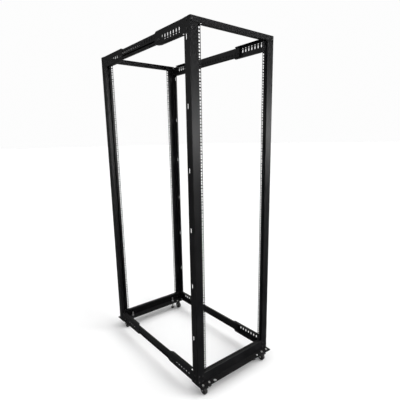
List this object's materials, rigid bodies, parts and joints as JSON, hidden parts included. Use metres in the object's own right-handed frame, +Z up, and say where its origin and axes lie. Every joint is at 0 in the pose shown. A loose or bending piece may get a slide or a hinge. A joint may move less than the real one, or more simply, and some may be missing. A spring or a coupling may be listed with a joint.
{
  "type": "open-frame equipment rack",
  "caption": "Tall open four-post rack frame in black sheet steel with square-hole mounting rails, sliding side rails that set its depth, swivel casters and levelling feet.",
  "frame": {"origin": "on the floor, midway between the left and right posts and between the front and rear posts, with the casters' wheels standing on Z = 0", "axes": "+X to the rack's right seen from its front, -Y out of the front, +Z up"},
  "size_m": [0.6044, 1.0946, 2.05],
  "materials": {
    "post_coat": "satin black powder coat, fine grain",
    "beam_coat": "satin black powder coat, fine grain",
    "bracket_coat": "satin black powder coat, fine grain",
    "middle_rail_coat": "satin black powder coat, slightly rubbed where it slides",
    "bolt_black": "black oxide",
    "zinc_steel": "zinc plated",
    "caster_steel": "black zinc, semi-gloss",
    "wheel_tread": "matt black hard rubber",
    "pedal_black": "moulded, fine texture",
    "foot_plastic": "moulded, fine texture"
  },
  "bodies": {
    "front_frame": {"front_left_post": "post_coat", "front_left_top_bracket": "bracket_coat", "front_left_bottom_bracket": "bracket_coat", "front_left_caster_plate": "caster_steel", "front_right_post": "post_coat", "front_right_top_bracket": "bracket_coat", "front_right_bottom_bracket": "bracket_coat", "front_right_caster_plate": "caster_steel", "front_top_beam": "beam_coat", "front_base_beam": "beam_coat", "front_corner_bolts": "bolt_black", "front_bracket_bolts": "bolt_black", "front_clamp_bolts": "bolt_black", "front_clamp_nuts": "zinc_steel", "front_caster_bolts": "zinc_steel", "front_foot_nuts": "zinc_steel"},
    "middle_rails": {"left_top_middle_rail": "middle_rail_coat", "left_bottom_middle_rail": "middle_rail_coat", "right_top_middle_rail": "middle_rail_coat", "right_bottom_middle_rail": "middle_rail_coat"},
    "rear_frame": {"rear_left_post": "post_coat", "rear_left_top_bracket": "bracket_coat", "rear_left_bottom_bracket": "bracket_coat", "rear_left_caster_plate": "caster_steel", "rear_right_post": "post_coat", "rear_right_top_bracket": "bracket_coat", "rear_right_bottom_bracket": "bracket_coat", "rear_right_caster_plate": "caster_steel", "rear_top_beam": "beam_coat", "rear_base_beam": "beam_coat", "rear_corner_bolts": "bolt_black", "rear_bracket_bolts": "bolt_black", "rear_clamp_bolts": "bolt_black", "rear_clamp_nuts": "zinc_steel", "rear_caster_bolts": "zinc_steel", "rear_foot_nuts": "zinc_steel"},
    "front_left_caster_fork": {"front_left_caster_fork": "caster_steel", "front_left_caster_axle": "zinc_steel"},
    "front_left_caster_wheel": {"front_left_caster_wheel": "wheel_tread"},
    "front_left_brake_pedal": {"front_left_brake_pedal": "pedal_black"},
    "front_left_foot": {"front_left_foot_stem": "zinc_steel", "front_left_foot_pad": "foot_plastic"},
    "front_right_caster_fork": {"front_right_caster_fork": "caster_steel", "front_right_caster_axle": "zinc_steel"},
    "front_right_caster_wheel": {"front_right_caster_wheel": "wheel_tread"},
    "front_right_brake_pedal": {"front_right_brake_pedal": "pedal_black"},
    "front_right_foot": {"front_right_foot_stem": "zinc_steel", "front_right_foot_pad": "foot_plastic"},
    "rear_left_caster_fork": {"rear_left_caster_fork": "caster_steel", "rear_left_caster_axle": "zinc_steel"},
    "rear_left_caster_wheel": {"rear_left_caster_wheel": "wheel_tread"},
    "rear_left_foot": {"rear_left_foot_stem": "zinc_steel", "rear_left_foot_pad": "foot_plastic"},
    "rear_right_caster_fork": {"rear_right_caster_fork": "caster_steel", "rear_right_caster_axle": "zinc_steel"},
    "rear_right_caster_wheel": {"rear_right_caster_wheel": "wheel_tread"},
    "rear_right_foot": {"rear_right_foot_stem": "zinc_steel", "rear_right_foot_pad": "foot_plastic"}
  },
  "joints": [
    {"name": "front_depth_slide", "type": "slide", "parent": "front_frame", "child": "middle_rails", "axis": [0, 1, 0], "range_m": [-0.1905, 0.0127]},
    {"name": "rear_depth_slide", "type": "slide", "parent": "middle_rails", "child": "rear_frame", "axis": [0, 1, 0], "range_m": [-0.1905, 0.0127]},
    {"name": "front_left_caster_swivel", "type": "hinge", "parent": "front_frame", "child": "front_left_caster_fork", "pos_m": [-0.253, -0.493, 0.063], "axis": [0, 0, 1], "continuous": true},
    {"name": "front_left_wheel_spin", "type": "hinge", "parent": "front_left_caster_fork", "child": "front_left_caster_wheel", "pos_m": [-0.253, -0.506, 0.026], "axis": [1, 0, 0], "continuous": true},
    {"name": "front_left_brake_press", "type": "hinge", "parent": "front_left_caster_fork", "child": "front_left_brake_pedal", "pos_m": [-0.253, -0.524, 0.055], "axis": [1, 0, 0], "range_deg": [0, 12]},
    {"name": "front_left_foot_height", "type": "slide", "parent": "front_frame", "child": "front_left_foot", "axis": [0, 0, 1], "range_m": [-0.024, 0.022]},
    {"name": "front_right_caster_swivel", "type": "hinge", "parent": "front_frame", "child": "front_right_caster_fork", "pos_m": [0.253, -0.493, 0.063], "axis": [0, 0, 1], "continuous": true},
    {"name": "front_right_wheel_spin", "type": "hinge", "parent": "front_right_caster_fork", "child": "front_right_caster_wheel", "pos_m": [0.253, -0.506, 0.026], "axis": [1, 0, 0], "continuous": true},
    {"name": "front_right_brake_press", "type": "hinge", "parent": "front_right_caster_fork", "child": "front_right_brake_pedal", "pos_m": [0.253, -0.524, 0.055], "axis": [1, 0, 0], "range_deg": [0, 12]},
    {"name": "front_right_foot_height", "type": "slide", "parent": "front_frame", "child": "front_right_foot", "axis": [0, 0, 1], "range_m": [-0.024, 0.022]},
    {"name": "rear_left_caster_swivel", "type": "hinge", "parent": "rear_frame", "child": "rear_left_caster_fork", "pos_m": [-0.253, 0.493, 0.063], "axis": [0, 0, 1], "continuous": true},
    {"name": "rear_left_wheel_spin", "type": "hinge", "parent": "rear_left_caster_fork", "child": "rear_left_caster_wheel", "pos_m": [-0.253, 0.48, 0.026], "axis": [1, 0, 0], "continuous": true},
    {"name": "rear_left_foot_height", "type": "slide", "parent": "rear_frame", "child": "rear_left_foot", "axis": [0, 0, 1], "range_m": [-0.024, 0.022]},
    {"name": "rear_right_caster_swivel", "type": "hinge", "parent": "rear_frame", "child": "rear_right_caster_fork", "pos_m": [0.253, 0.493, 0.063], "axis": [0, 0, 1], "continuous": true},
    {"name": "rear_right_wheel_spin", "type": "hinge", "parent": "rear_right_caster_fork", "child": "rear_right_caster_wheel", "pos_m": [0.253, 0.48, 0.026], "axis": [1, 0, 0], "continuous": true},
    {"name": "rear_right_foot_height", "type": "slide", "parent": "rear_frame", "child": "rear_right_foot", "axis": [0, 0, 1], "range_m": [-0.024, 0.022]}
  ]
}
